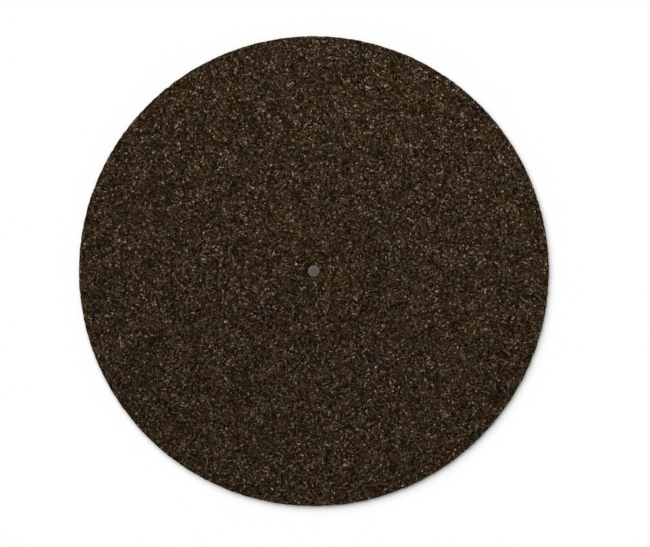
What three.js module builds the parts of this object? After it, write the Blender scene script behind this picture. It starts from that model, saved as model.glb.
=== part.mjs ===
// A turntable platter mat: one flat disc, die-cut from a sheet of cork granules bound in dark rubber.
// The underside lies on the platter, the record lies on the top face, and the platter's spindle comes
// up through the centre hole. Both faces are plain. Millimetres, +Z up, with the origin at the centre
// of the underside.

import * as THREE from 'three';
import { toCreasedNormals } from 'three/addons/utils/BufferGeometryUtils.js';

// The disc
const matDiameter = 300;
const sheetThickness = 3;

// The spindle hole: a running fit over a spindle of about 7.2 mm
const spindleHoleDiameter = 7.5;

// The outer cut. The die enters from the top: it pulls the top corner over, the springy sheet draws
// in halfway down the cut, and the die leaves a small broken corner at the underside.
const rimCornerRadius = 0.4;
const rimDrawIn = 0.12;
const rimLowerBevel = 0.12;

// The hole's cut, by a smaller punch in the same stroke
const holeCornerRadius = 0.3;
const holeDrawIn = 0.06;
const holeLowerBevel = 0.08;

// How finely the round forms are divided
const stepsAround = 180;
const stepsOverCorner = 4;
const stepsDownWall = 4;

// Edges that turn by more than this stay crisp when the surface is shaded
const creaseAngle = THREE.MathUtils.degToRad(35);

const corkRubber = new THREE.MeshStandardMaterial({
    name: 'cork_rubber',
    color: '#34281d',
    roughness: 0.9,
    metalness: 0,
});

// The section of one cut edge, from the underside up to the top face. x is the depth into the sheet
// from the cut line, and y is the height above the underside.
function cutEdgeSection(cornerRadius, drawIn, lowerBevel) {
    const wallTop = sheetThickness - cornerRadius;
    const wallMiddle = (lowerBevel + wallTop) / 2;

    // The middle of a quadratic curve lies half as far out as its control point
    const wall = new THREE.QuadraticBezierCurve(
        new THREE.Vector2(0, lowerBevel),
        new THREE.Vector2(2 * drawIn, wallMiddle),
        new THREE.Vector2(0, wallTop),
    );
    const corner = new THREE.EllipseCurve(
        cornerRadius,
        wallTop,
        cornerRadius,
        cornerRadius,
        Math.PI,
        Math.PI / 2,
        true,
    );

    const underside = new THREE.Vector2(lowerBevel, 0);
    const wallPoints = wall.getPoints(stepsDownWall);
    const cornerPoints = corner.getPoints(stepsOverCorner).slice(1);
    return [underside, ...wallPoints, ...cornerPoints];
}

// The mat's whole section on one side of its axis: up the rim, in over the top face, down the hole
// and out along the underside to where it began. x is the distance from the axis.
function matSection() {
    const rim = cutEdgeSection(rimCornerRadius, rimDrawIn, rimLowerBevel).map(
        (point) => new THREE.Vector2(matDiameter / 2 - point.x, point.y),
    );
    const hole = cutEdgeSection(holeCornerRadius, holeDrawIn, holeLowerBevel).map(
        (point) => new THREE.Vector2(spindleHoleDiameter / 2 + point.x, point.y),
    );
    return [...rim, ...hole.reverse(), rim[0].clone()];
}

// The section turned about the mat's axis. A lathe turns about Y, so the result is stood up along Z.
function makeMat() {
    const turned = new THREE.LatheGeometry(matSection(), stepsAround);
    turned.rotateX(Math.PI / 2);
    const mat = new THREE.Mesh(toCreasedNormals(turned, creaseAngle), corkRubber);
    mat.name = 'platter_mat';
    return mat;
}

const group = new THREE.Group();
group.name = 'turntable_platter_mat';
group.add(makeMat());

export default group;
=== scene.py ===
# A turntable platter mat of cork granules bound in dark rubber, seen from straight above on white.
# Every length is in metres unless its name ends in _mm or _px. A name that ends in _per_mm is a count
# to a millimetre.

import math
import random
from collections import namedtuple

import bpy
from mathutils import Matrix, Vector, noise


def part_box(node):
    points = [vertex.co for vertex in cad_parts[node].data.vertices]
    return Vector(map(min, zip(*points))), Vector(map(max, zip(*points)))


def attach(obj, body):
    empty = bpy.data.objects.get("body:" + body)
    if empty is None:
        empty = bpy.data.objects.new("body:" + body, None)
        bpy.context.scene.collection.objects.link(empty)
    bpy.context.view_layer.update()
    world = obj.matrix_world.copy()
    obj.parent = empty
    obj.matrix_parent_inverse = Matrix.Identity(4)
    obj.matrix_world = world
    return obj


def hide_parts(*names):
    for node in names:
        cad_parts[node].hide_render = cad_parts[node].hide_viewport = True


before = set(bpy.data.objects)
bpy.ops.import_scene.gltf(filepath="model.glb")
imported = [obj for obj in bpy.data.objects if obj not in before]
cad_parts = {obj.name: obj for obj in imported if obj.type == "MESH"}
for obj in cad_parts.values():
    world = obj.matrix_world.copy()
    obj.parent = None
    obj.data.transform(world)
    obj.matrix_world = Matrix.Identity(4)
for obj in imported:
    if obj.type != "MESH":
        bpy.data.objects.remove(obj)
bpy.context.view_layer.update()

MM = 0.001
WHOLE_TURN = 2 * math.pi
QUARTER_TURN = math.pi / 2

# The photograph's frame, and where the mat lies in it
photo_width_px = 650
photo_height_px = 547
mat_centre_px = (313.84, 271.04)
mat_radius_px = 235.15

# The mat's overall size comes from its CAD part's box
mat_low, mat_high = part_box("platter_mat")
mat_radius = (mat_high.x - mat_low.x) / 2
mat_thickness = mat_high.z - mat_low.z
hole_radius = 3.75 * MM

# The cut edges: the top corner that the die pulls over, how far the wall draws in halfway down,
# and the small broken corner at the underside
rim_corner_radius = 0.4 * MM
rim_draw_in = 0.12 * MM
rim_lower_bevel = 0.12 * MM
hole_corner_radius = 0.3 * MM
hole_draw_in = 0.06 * MM
hole_lower_bevel = 0.08 * MM

# How far apart the mesh's points lie on each surface, how many rows of them stand on the walls and
# round the corners, and how far a point is moved off its row, in shares of the spacing
spacings = {"top": 1.2 * MM, "underside": 2.1 * MM, "rim": 0.78 * MM, "hole": 0.35 * MM}
rim_wall_rows = 6
hole_wall_rows = 7
corner_rows = 3
jitter_share = 0.24
jitter_seed = 7

# The relief that the granules give each surface: how deep it is, how wide its granules are, how deep
# and how many are the pits of torn granules, and how far apart the granules' chances are read. The
# die tears the rim more than the punch tears the hole.
relief_depths = {"top": 0.12 * MM, "underside": 0.12 * MM, "rim": 0.34 * MM, "hole": 0.06 * MM}
granule_widths_mm = {"top": 1.6, "underside": 1.6, "rim": 2.6, "hole": 1.6}
torn_granule_depth = 0.18 * MM
torn_granule_share = 0.04
chance_stride = 53

# The map on which the surfaces are laid out for baking, in shares of its side: the two faces are
# discs in opposite corners, and the cut edges lie unrolled as strips in a band below them
map_name = "OFBake"
map_gap = 0.004
map_strip_band = 0.04
map_strip_height = 0.0078
top_map_radius = 0.355
underside_map_radius = 0.208
rim_strips = 3

# A ring of the surface lies amid a face or on a cut edge, which is its region. The rings round an
# edge also name the face that meets the wall there.
Ring = namedtuple("Ring", "radius height region meets", defaults=[None])
Point = namedtuple("Point", "ring number angle place")

UP = Vector((0, 0, 1))
face_heights = {"top": mat_thickness, "underside": 0.0}
wall_radii = {"rim": mat_radius, "hole": hole_radius}


def face_rings(region, start, end):
    """The rings across a face between its two edges, in rows that make near-even triangles."""
    row_spacing = spacings[region] * math.sqrt(3) / 2
    steps = round(abs(end - start) / row_spacing)
    radii = [start + (end - start) * step / steps for step in range(1, steps)]
    return [Ring(radius, face_heights[region], region) for radius in radii]


def edge_rings(region, into, corner_radius, draw_in, lower_bevel, wall_rows):
    """The rings of a cut edge from the top face to the underside: round the corner, down the wall
    and over the bevel. The mat lies outside the wall where into is 1, and inside it where it is -1."""
    rings = []
    cut_radius = wall_radii[region]
    wall_top = mat_thickness - corner_radius
    for step in range(corner_rows):
        turn = QUARTER_TURN * step / corner_rows
        radius = cut_radius + into * corner_radius * (1 - math.sin(turn))
        rings.append(Ring(radius, wall_top + corner_radius * math.cos(turn), region, "top"))
    meets = {0: "top", wall_rows: "underside"}
    for step in range(wall_rows + 1):
        share = step / wall_rows
        # An arch that is 0 at both ends and the whole draw-in halfway down
        radius = cut_radius + into * 4 * draw_in * share * (1 - share)
        height = wall_top + (lower_bevel - wall_top) * share
        rings.append(Ring(radius, height, region, meets.get(step)))
    rings.append(Ring(cut_radius + into * lower_bevel, 0.0, region, "underside"))
    return rings


def section():
    """The rings that the mat's surface is built on, once round its section: out over the top, down
    the rim, in along the underside and up the hole."""
    rim = edge_rings("rim", -1, rim_corner_radius, rim_draw_in, rim_lower_bevel, rim_wall_rows)
    hole = edge_rings("hole", 1, hole_corner_radius, hole_draw_in, hole_lower_bevel, hole_wall_rows)
    hole.reverse()
    top = face_rings("top", hole[-1].radius, rim[0].radius)
    underside = face_rings("underside", rim[-1].radius, hole[0].radius)
    return top + rim + underside + hole


def chance_at(point):
    """A number from 0 to 1 that is the same all over each unit cell of space."""
    return (noise.cell(point) + 1) / 2


def granule_relief(place, region):
    """How deep below the CAD surface a place lies: each granule stands at its own height, and a few
    are torn out."""
    nearest = noise.voronoi(place / MM / granule_widths_mm[region])[1][0]
    depth = relief_depths[region] * chance_at(nearest * chance_stride)
    if region != "hole" and chance_at(-nearest * chance_stride) < torn_granule_share:
        depth += torn_granule_depth
    return depth


def sunk(place, outward, ring):
    """The place moved straight in by the relief. Round an edge it moves with both the face and the
    wall, by their relief at the sharp corner, so that the edge keeps its form and never folds over."""
    ways_in = {"top": -UP, "underside": UP, "rim": -outward, "hole": outward}
    if ring.meets is None:
        return place + ways_in[ring.region] * granule_relief(place, ring.region)
    sharp_corner = outward * wall_radii[ring.region] + UP * face_heights[ring.meets]
    for region in (ring.region, ring.meets):
        place = place + ways_in[region] * granule_relief(sharp_corner, region)
    return place


def ring_points(rings, index, first_number, chooser):
    """One ring's points, moved a little off their row so that no ring shows, and in by the relief.
    Every other ring starts half a step on."""
    ring = rings[index]
    spacing = spacings[ring.region]
    count = round(WHOLE_TURN * ring.radius / spacing)
    half_step = 0.5 * (index % 2)
    points = []
    for step in range(count):
        jitter = chooser.uniform(-jitter_share, jitter_share)
        angle = WHOLE_TURN * (step + half_step + jitter) / count
        off_row = chooser.uniform(-jitter_share, jitter_share) * spacing
        radius = ring.radius + off_row if ring.region in face_heights else ring.radius
        outward = Vector((math.cos(angle), math.sin(angle), 0))
        place = sunk(outward * radius + UP * ring.height, outward, ring)
        points.append(Point(index, first_number + step, angle, place))
    return points


def angle_of(points, count):
    """The angle of the point that comes after count others, going on past the whole turn."""
    return points[count % len(points)].angle + WHOLE_TURN * (count // len(points))


def stitch(near, far):
    """The triangles between two rings of points, going round with whichever ring is behind."""
    faces = []
    near_done = 0
    far_done = 0
    while near_done < len(near) or far_done < len(far):
        near_point = near[near_done % len(near)]
        far_point = far[far_done % len(far)]
        near_is_behind = angle_of(near, near_done + 1) < angle_of(far, far_done + 1)
        if far_done == len(far) or (near_done < len(near) and near_is_behind):
            near_done += 1
            faces.append((near_point, far_point, near[near_done % len(near)]))
        else:
            far_done += 1
            faces.append((near_point, far_point, far[far_done % len(far)]))
    return faces


def disc_on_map(face, centre, map_radius, across):
    """A triangle of the top, or of the underside, which is seen from below, so there across is -1."""
    scale = map_radius / mat_radius
    places = [point.place for point in face]
    return [(centre[0] + across * place.x * scale, centre[1] + place.y * scale) for place in places]


def strip_on_map(face, downs, left, radius, strips):
    """A triangle of the rim or of the hole's wall, unrolled on the strip that it belongs to. downs
    are its corners' distances from the strip's top."""
    scale = top_map_radius / mat_radius
    start = face[0].angle
    angles = [point.angle + WHOLE_TURN * round((start - point.angle) / WHOLE_TURN) for point in face]
    strip = math.floor(sum(angles) / len(angles) / WHOLE_TURN * strips)
    strip_start = strip * WHOLE_TURN / strips
    strip_top = (map_gap + map_strip_height) * (strip % strips + 1)
    return [
        (left + (angle - strip_start) * radius * scale, strip_top - down * scale)
        for angle, down in zip(angles, downs)
    ]


def on_map(region, face, downs):
    """Where the corners of a triangle lie on the map."""
    if region == "top":
        centre = (map_gap + top_map_radius, map_strip_band + map_gap + top_map_radius)
        return disc_on_map(face, centre, top_map_radius, 1)
    if region == "underside":
        centre = (1 - map_gap - underside_map_radius, 1 - map_gap - underside_map_radius)
        return disc_on_map(face, centre, underside_map_radius, -1)
    if region == "rim":
        return strip_on_map(face, downs, map_gap, mat_radius, rim_strips)
    rim_strip_length = WHOLE_TURN * top_map_radius / rim_strips
    hole_strip_start = 3 * map_gap + rim_strip_length
    return strip_on_map(face, downs, hole_strip_start, hole_radius, 1)


def mat_surface():
    """The rows of points of the mat's closed surface, its triangles, and their corners on the map.
    near_down and far_down are how far two rings lie along the section from their region's start."""
    rings = section()
    chooser = random.Random(jitter_seed)
    rows = []
    first_number = 0
    for index in range(len(rings)):
        rows.append(ring_points(rings, index, first_number, chooser))
        first_number += len(rows[-1])
    faces = []
    map_corners = []
    region = None
    far_down = 0.0
    for index, ring in enumerate(rings):
        after = (index + 1) % len(rings)
        previous_region = region
        region = ring.region if ring.region in face_heights else rings[after].region
        near_down = far_down if region == previous_region else 0.0
        far_down = near_down + math.dist(ring[:2], rings[after][:2])
        for face in stitch(rows[index], rows[after]):
            downs = [near_down if point.ring == index else far_down for point in face]
            faces.append([point.number for point in face])
            map_corners.extend(on_map(region, face, downs))
    return rows, faces, map_corners


def cork_rubber_mat():
    """The mat, in place of its plain CAD solid."""
    rows, faces, map_corners = mat_surface()
    mesh = bpy.data.meshes.new("cork_rubber_mat")
    mesh.from_pydata([point.place for row in rows for point in row], [], faces)
    layer = mesh.uv_layers.new(name=map_name)
    for corner, place in zip(layer.data, map_corners):
        corner.uv = place
    mesh.shade_smooth()
    mesh.materials.append(cork_rubber())
    mat = bpy.data.objects.new("cork_rubber_mat", mesh)
    bpy.context.scene.collection.objects.link(mat)
    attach(mat, "root")
    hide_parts("platter_mat")


def new_material(name):
    material = bpy.data.materials.new(name)
    material.use_nodes = True
    material.node_tree.nodes.clear()
    return material, material.node_tree


def add(tree, kind, settings=None, **inputs):
    """A new shader node with its settings, and its inputs given as values or as sockets to link. An
    input is named as its socket is, with _ for a space, or by its number, as in _0."""
    node = tree.nodes.new(kind)
    for name, value in (settings or {}).items():
        setattr(node, name, value)
    for name, value in inputs.items():
        by_number = name[1:].isdigit()
        socket = node.inputs[int(name[1:]) if by_number else name.replace("_", " ")]
        if isinstance(value, bpy.types.NodeSocket):
            tree.links.new(value, socket)
        else:
            socket.default_value = value
    return node


def finish_surface(tree, shader):
    output = add(tree, "ShaderNodeOutputMaterial")
    tree.links.new(shader.outputs[0], output.inputs["Surface"])


def maths(tree, operation, a, b=0.0, c=0.0):
    return add(tree, "ShaderNodeMath", {"operation": operation}, _0=a, _1=b, _2=c).outputs[0]


def vector_maths(tree, operation, vector, **inputs):
    node = add(tree, "ShaderNodeVectorMath", {"operation": operation}, _0=vector, **inputs)
    gives_number = operation in ("DOT_PRODUCT", "DISTANCE", "LENGTH")
    return node.outputs["Value" if gives_number else "Vector"]


def mixed(tree, share, first, second):
    """The first number where share is 0, and the second where it is 1."""
    step = maths(tree, "SUBTRACT", second, first)
    return maths(tree, "MULTIPLY_ADD", step, share, first)


def between(tree, chance, low, high):
    """A number from low to high, as the chance goes from 0 to 1."""
    return maths(tree, "MULTIPLY_ADD", chance, high - low, low)


def eased(tree, value, start, end, low, high):
    """Low where the value is start or less, high where it is end or more, and a smooth step between."""
    return add(
        tree, "ShaderNodeMapRange", {"interpolation_type": "SMOOTHSTEP"},
        Value=value, From_Min=start, From_Max=end, To_Min=low, To_Max=high,
    ).outputs[0]


def channels(tree, colour):
    return add(tree, "ShaderNodeSeparateColor", None, Color=colour).outputs


def noise_texture(tree, place, waves_per_mm, detail):
    """Smooth noise from 0 to 1, as a number in Fac and as a colour in Color."""
    return add(
        tree, "ShaderNodeTexNoise", None, Vector=place, Scale=waves_per_mm, Detail=detail
    ).outputs


def voronoi(tree, place, cells_per_mm, scatter, feature="F1"):
    return add(
        tree, "ShaderNodeTexVoronoi", {"feature": feature},
        Vector=place, Scale=cells_per_mm, Randomness=scatter,
    ).outputs


def shifted(tree, place, in_mm, waves_per_mm, reach_mm):
    """The place moved about by smooth noise, so that what is drawn there is uneven."""
    colour = noise_texture(tree, in_mm, waves_per_mm, detail=1.0)["Color"]
    centred = vector_maths(tree, "SUBTRACT", colour, _1=[0.5] * 3)
    return vector_maths(tree, "MULTIPLY_ADD", centred, _1=[reach_mm] * 3, _2=place)


def grey_ramp(tree, factor, stops):
    """A number that goes through the stops, each a place from 0 to 1 and the number there."""
    node = add(tree, "ShaderNodeValToRGB", None, Fac=factor)
    elements = node.color_ramp.elements
    elements.remove(elements[1])
    for index, (position, level) in enumerate(stops):
        element = elements[0] if index == 0 else elements.new(position)
        element.position = position
        element.color = (level, level, level, 1.0)
    return channels(tree, node.outputs["Color"])[0]


# An sRGB level of 255 is 1 in a shader. The curve from sRGB to linear takes an offset and then a power.
LEVEL = 1 / 255
SRGB_OFFSET = 0.055
SRGB_POWER = 2.4


def srgb_to_linear(tree, colour):
    """Shaders take linear colours, and the levels read off the photo are sRGB."""
    gain = 1 / (1 + SRGB_OFFSET)
    shift = SRGB_OFFSET / (1 + SRGB_OFFSET)
    scaled = vector_maths(tree, "MULTIPLY_ADD", colour, _1=[gain] * 3, _2=[shift] * 3)
    return add(tree, "ShaderNodeGamma", None, Color=scaled, Gamma=SRGB_POWER).outputs[0]


# How bright the granules are: the share of granules that are darker than each sRGB level
granule_levels = [(0.0, 7), (0.15, 19), (0.4, 33), (0.65, 50), (0.85, 72), (0.95, 93), (1.0, 134)]

# The granules: how many to a millimetre, how unevenly they are scattered, how far they are drawn
# out along and squeezed across, how often and how far their outlines wander, and how many clusters
# of them to a millimetre lie each its own way
granules_per_mm = 0.9
granule_scatter = 0.7
granule_squeeze = (0.75, 1.25, 1.0)
granule_waves_per_mm = 1.1
granule_wander_mm = 0.9
clusters_per_mm = 0.3

# The rubber film that rounds off each granule, darkest at its edge, and the grain within a granule,
# which goes from dark to light as its noise goes through a span
film_reach = 0.3
film_dark = 0.7
film_light = 1.04
grain_waves_per_mm = 3.0
grain_span = (0.3, 0.7)
grain_dark = 0.9
grain_light = 1.1

# Larger chips of cork among the granules: how many to a millimetre, their least and greatest reach
# and how soft their edge is, in shares of their spacing, how often and how far their outlines
# wander, how plain they are, how dark and how light, and how far each leans towards its own tint
chips_per_mm = 0.2
chip_reaches = (0.1, 0.4)
chip_edge = 0.04
chip_waves_per_mm = 0.35
chip_wander_mm = 3.5
chip_plainness = 0.75
chip_levels = (18, 58)
chip_tint = 0.55

# The light line round some stretches of the chips' outlines: how wide it is, in shares of the chips'
# spacing, how much lighter, and how often stretches come and where in their noise they fade in
chip_line_width = 0.045
chip_line_gain = 0.85
chip_line_stretches_per_mm = 0.3
chip_line_span = (0.5, 0.58)

# Painted shade round the hole's edge: how far it reaches and how dark it is
hole_edge_shade_reach_mm = 1.1
hole_edge_shade_dark = 0.45

# The photo's browns: what a granule's brightness is multiplied by in each channel, and what is added
brown_gain = (1.001, 0.997, 0.996)
brown_shift = (9.9 * LEVEL, -2.0 * LEVEL, -15.1 * LEVEL)

# Soft patches a few millimetres wide lean towards tan or grey, and towards red or olive. A few
# clusters of granules lean strongly: the share that leans each way, and how far they lean at most, to
# grey and to tan, and then to olive and to red.
patches_per_mm = 0.12
strong_share = 0.04
strong_leanings = [(0.27, 0.42), (0.38, 0.35)]

# What a whole leaning towards tan, and one towards red, adds to the sRGB colour, and how much lighter
# it makes the granules
warm_direction = (0.022, 0.0, -0.073)
red_direction = (0.047, -0.0225, 0.0)
warm_lighter = 0.42
red_lighter = 0.28

# Painted light: the mat's colour grows lighter by this share for each millimetre, along x and along y,
# as the light falls stronger towards the top of the frame
painted_light_per_mm = (0.00015, 0.00053, 0.0)

# How the surface takes the light: bare cork is a little smoother than the rubber round it
rubber_roughness = 0.92
cork_roughness = 0.78
specular_level = 0.02
fine_relief_depth = 0.06 * MM


def granules(tree, in_mm, lie_chance):
    """Each granule's chance from 0 to 1, and the gain that the film of rubber gives its brightness."""
    turned = add(
        tree, "ShaderNodeVectorRotate", {"rotation_type": "Z_AXIS"},
        Vector=in_mm, Angle=maths(tree, "MULTIPLY", lie_chance, math.pi),
    ).outputs[0]
    squeezed = vector_maths(tree, "MULTIPLY", turned, _1=granule_squeeze)
    place = shifted(tree, squeezed, in_mm, granule_waves_per_mm, granule_wander_mm)
    colour = voronoi(tree, place, granules_per_mm, granule_scatter)["Color"]
    from_edge = voronoi(tree, place, granules_per_mm, granule_scatter, "DISTANCE_TO_EDGE")["Distance"]
    film = eased(tree, from_edge, 0.0, film_reach, film_dark, film_light)
    return channels(tree, colour)[0], film


def chips(tree, in_mm):
    """Where the larger chips lie, the light line round stretches of them, and each one's chances."""
    place = shifted(tree, in_mm, in_mm, chip_waves_per_mm, chip_wander_mm)
    cells = voronoi(tree, place, chips_per_mm, scatter=1.0)
    chances = channels(tree, cells["Color"])
    reach = between(tree, chances[0], *chip_reaches)
    beyond = maths(tree, "SUBTRACT", cells["Distance"], reach)
    inside = eased(tree, beyond, -chip_edge, 0.0, 1.0, 0.0)
    line = eased(tree, maths(tree, "ABSOLUTE", beyond), 0.0, chip_line_width, 1.0, 0.0)
    stretch_noise = noise_texture(tree, in_mm, chip_line_stretches_per_mm, detail=0.0)["Fac"]
    stretches = eased(tree, stretch_noise, *chip_line_span, 0.0, 1.0)
    return inside, maths(tree, "MULTIPLY", line, stretches), chances


def hole_edge_shade(tree, in_mm):
    """The gain of the painted shade round the hole: dark at the hole's edge and 1 beyond it."""
    level_place = vector_maths(tree, "MULTIPLY", in_mm, _1=(1, 1, 0))
    from_edge = maths(tree, "SUBTRACT", vector_maths(tree, "LENGTH", level_place), hole_radius / MM)
    return eased(tree, from_edge, 0.0, hole_edge_shade_reach_mm, hole_edge_shade_dark, 1.0)


def tints(tree, in_mm, cluster_chances, chip, chip_chances):
    """How far a place leans towards tan, and how far towards red: in soft patches, in the few strong
    clusters, and chip by chip."""
    patches = channels(tree, noise_texture(tree, in_mm, patches_per_mm, detail=2.0)["Color"])
    leanings = []
    for index, (most_away, most_towards) in enumerate(strong_leanings):
        soft = maths(tree, "SUBTRACT", patches[index], 0.5)
        cluster_chance = cluster_chances[index]
        towards = eased(tree, cluster_chance, 1 - strong_share, 1.0, 0.0, most_towards)
        away = eased(tree, cluster_chance, 0.0, strong_share, most_away, 0.0)
        strong = maths(tree, "SUBTRACT", towards, away)
        own = between(tree, chip_chances[index], -chip_tint / 2, chip_tint / 2)
        leaning = maths(tree, "MULTIPLY_ADD", own, chip, maths(tree, "ADD", soft, strong))
        leanings.append(leaning)
    return leanings


def brightness(tree, in_mm, granule_level, chip, chip_level, gains):
    """The sRGB level of a place before it is tinted."""
    level = mixed(tree, maths(tree, "MULTIPLY", chip, chip_plainness), granule_level, chip_level)
    grain = noise_texture(tree, in_mm, grain_waves_per_mm, detail=1.0)["Fac"]
    for gain in [eased(tree, grain, *grain_span, grain_dark, grain_light), *gains]:
        level = maths(tree, "MULTIPLY", level, gain)
    return level


def browned(tree, in_mm, level, warmth, redness):
    """A level as a brown, with its leanings, and with painted light that makes it lighter towards the
    top of the frame.
    """
    levels = add(tree, "ShaderNodeCombineXYZ", None, X=level, Y=level, Z=level).outputs[0]
    colour = vector_maths(tree, "MULTIPLY_ADD", levels, _1=brown_gain, _2=brown_shift)
    colour = vector_maths(tree, "MULTIPLY_ADD", warmth, _1=warm_direction, _2=colour)
    colour = vector_maths(tree, "MULTIPLY_ADD", redness, _1=red_direction, _2=colour)
    # Painted light: the colour grows lighter towards the top of the frame
    painted_light_gain = vector_maths(tree, "DOT_PRODUCT", in_mm, _1=painted_light_per_mm)
    return vector_maths(tree, "SCALE", colour, Scale=maths(tree, "ADD", painted_light_gain, 1.0))


def cork_rubber():
    """Cork granules and chips of every brown from near black to tan, bound in dark rubber."""
    material, tree = new_material("cork_rubber")
    place = add(tree, "ShaderNodeTexCoord").outputs["Object"]
    in_mm = vector_maths(tree, "SCALE", place, Scale=1 / MM)
    clusters = voronoi(tree, in_mm, clusters_per_mm, scatter=1.0)
    cluster_chances = channels(tree, clusters["Color"])
    chance, film = granules(tree, in_mm, cluster_chances[0])
    chip, chip_line, chip_chances = chips(tree, in_mm)
    warmth, redness = tints(tree, in_mm, cluster_chances[1:], chip, chip_chances[1:])

    granule_level = grey_ramp(tree, chance, [(share, level * LEVEL) for share, level in granule_levels])
    chip_level = between(tree, chip_chances[2], chip_levels[0] * LEVEL, chip_levels[1] * LEVEL)
    gains = [
        film,
        # painted shade round the hole's edge
        hole_edge_shade(tree, in_mm),
        maths(tree, "MULTIPLY_ADD", warmth, warm_lighter, 1.0),
        maths(tree, "MULTIPLY_ADD", redness, red_lighter, 1.0),
        maths(tree, "MULTIPLY_ADD", chip_line, chip_line_gain, 1.0),
    ]
    level = brightness(tree, in_mm, granule_level, chip, chip_level, gains)
    colour = srgb_to_linear(tree, browned(tree, in_mm, level, warmth, redness))

    height = maths(tree, "MULTIPLY", film, chance)
    bump = add(tree, "ShaderNodeBump", None, Height=height, Distance=fine_relief_depth).outputs[0]
    finish_surface(tree, add(
        tree, "ShaderNodeBsdfPrincipled", None, Base_Color=colour,
        Roughness=between(tree, height, rubber_roughness, cork_roughness),
        Specular_IOR_Level=specular_level, Normal=bump,
    ))
    return material


cork_rubber_mat()

# The lights give a level of 1 on a level surface: a wide soft key and plain ambient light. The key's
# bearing is read off the photo, whose y runs down.
key_share = 0.82
ambient_share = 0.18
key_elevation = math.radians(53)
key_bearing_in_photo = math.radians(238)
key_width = math.radians(72)

# The floor: its own white, how far it reaches, and how far it lies below the mat
floor_white = 0.8
floor_reach = 30.0
floor_drop = 0.02 * MM

# The grey seen through the spindle hole, which glows with its own light. It carries painted shade: it
# is lighter outside a round painted shade that lies off the hole's centre, and dark along the foot of
# the hole's wall, where the wall's shade is painted.
under_hole_colour = (0.106, 0.089, 0.079, 1.0)
under_hole_radius = 3 * hole_radius
shade_centre = (0.55 * MM, -0.4 * MM, 0.0)
shade_radius = 3.1 * MM
shade_softness = 0.35 * MM
outside_shade_gain = 1.5
wall_foot_shade_reach = 0.35 * MM
wall_foot_shade_dark = 0.15

# The camera's long lens, because the photo shows no perspective
lens_mm = 200.0
sensor_mm = 36.0


def key_lamp():
    """The wide soft light that gives the mat its shadow."""
    key = bpy.data.objects.new("key", bpy.data.lights.new("key", "SUN"))
    bpy.context.scene.collection.objects.link(key)
    key.data.angle = key_width
    key.data.energy = key_share * math.pi / math.sin(key_elevation)
    towards_key = Vector((
        math.cos(key_elevation) * math.cos(key_bearing_in_photo),
        -math.cos(key_elevation) * math.sin(key_bearing_in_photo),
        math.sin(key_elevation),
    ))
    key.rotation_mode = "QUATERNION"
    key.rotation_quaternion = towards_key.to_track_quat("Z", "Y")


def white_where_seen(tree, level):
    """1 for the camera's rays and for reflected and refracted ones, and the level for all others."""
    path = add(tree, "ShaderNodeLightPath")
    seen = maths(tree, "MAXIMUM", path.outputs["Is Camera Ray"], path.outputs["Is Glossy Ray"])
    seen = maths(tree, "MAXIMUM", seen, path.outputs["Is Transmission Ray"])
    return between(tree, seen, level, 1.0)


def white_world():
    world = bpy.data.worlds.new("studio")
    world.use_nodes = True
    tree = world.node_tree
    tree.nodes.clear()
    background = add(
        tree, "ShaderNodeBackground", None,
        Color=(1, 1, 1, 1), Strength=white_where_seen(tree, ambient_share),
    )
    output = add(tree, "ShaderNodeOutputWorld")
    tree.links.new(background.outputs[0], output.inputs["Surface"])
    bpy.context.scene.world = world


def floor_finish():
    """White that keeps the mat's shadow, with a glowing grey under the spindle hole that carries
    painted shade.
    """
    material, tree = new_material("white_floor")
    level = white_where_seen(tree, floor_white)
    white = add(tree, "ShaderNodeCombineColor", None, Red=level, Green=level, Blue=level).outputs[0]
    lit = add(tree, "ShaderNodeBsdfDiffuse", None, Color=white).outputs[0]
    place = add(tree, "ShaderNodeTexCoord").outputs["Object"]
    # Painted shade: the grey is lighter outside a round shade and darker at the foot of the hole's wall
    from_shade = vector_maths(tree, "DISTANCE", place, _1=shade_centre)
    beyond = maths(tree, "SUBTRACT", from_shade, shade_radius)
    shade = eased(tree, beyond, -shade_softness, shade_softness, 1.0, outside_shade_gain)
    from_axis = vector_maths(tree, "LENGTH", place)
    wall_foot_shade = eased(tree, from_axis, hole_radius - wall_foot_shade_reach, hole_radius, 1.0, wall_foot_shade_dark)
    strength = maths(tree, "MULTIPLY", shade, wall_foot_shade)
    # The grey glows with its own light instead of being lit
    glowing_grey = add(tree, "ShaderNodeEmission", None, Color=under_hole_colour, Strength=strength).outputs[0]
    under_hole = maths(tree, "LESS_THAN", from_axis, under_hole_radius)
    finish_surface(tree, add(tree, "ShaderNodeMixShader", None, Fac=under_hole, _1=lit, _2=glowing_grey))
    return material


def white_floor():
    near, far = -floor_reach, floor_reach
    corners = [(near, near, 0), (far, near, 0), (far, far, 0), (near, far, 0)]
    mesh = bpy.data.meshes.new("floor")
    mesh.from_pydata(corners, [], [(0, 1, 2, 3)])
    mesh.materials.append(floor_finish())
    floor = bpy.data.objects.new("floor", mesh)
    floor.location.z = -floor_drop
    bpy.context.scene.collection.objects.link(floor)


def top_camera():
    """Straight above, and so far up that the mat's outline is as wide in the frame as in the photo."""
    px_per_metre = mat_radius_px / mat_radius
    distance = photo_width_px * lens_mm / sensor_mm / px_per_metre
    camera = bpy.data.objects.new("camera", bpy.data.cameras.new("camera"))
    bpy.context.scene.collection.objects.link(camera)
    camera.data.lens = lens_mm
    camera.data.sensor_width = sensor_mm
    camera.data.sensor_fit = "HORIZONTAL"
    camera.location = (
        (photo_width_px / 2 - mat_centre_px[0]) / px_per_metre,
        (mat_centre_px[1] - photo_height_px / 2) / px_per_metre,
        mat_thickness - rim_corner_radius + distance,
    )
    bpy.context.scene.camera = camera


key_lamp()
white_world()
white_floor()
top_camera()
bpy.context.scene.view_settings.view_transform = "Standard"
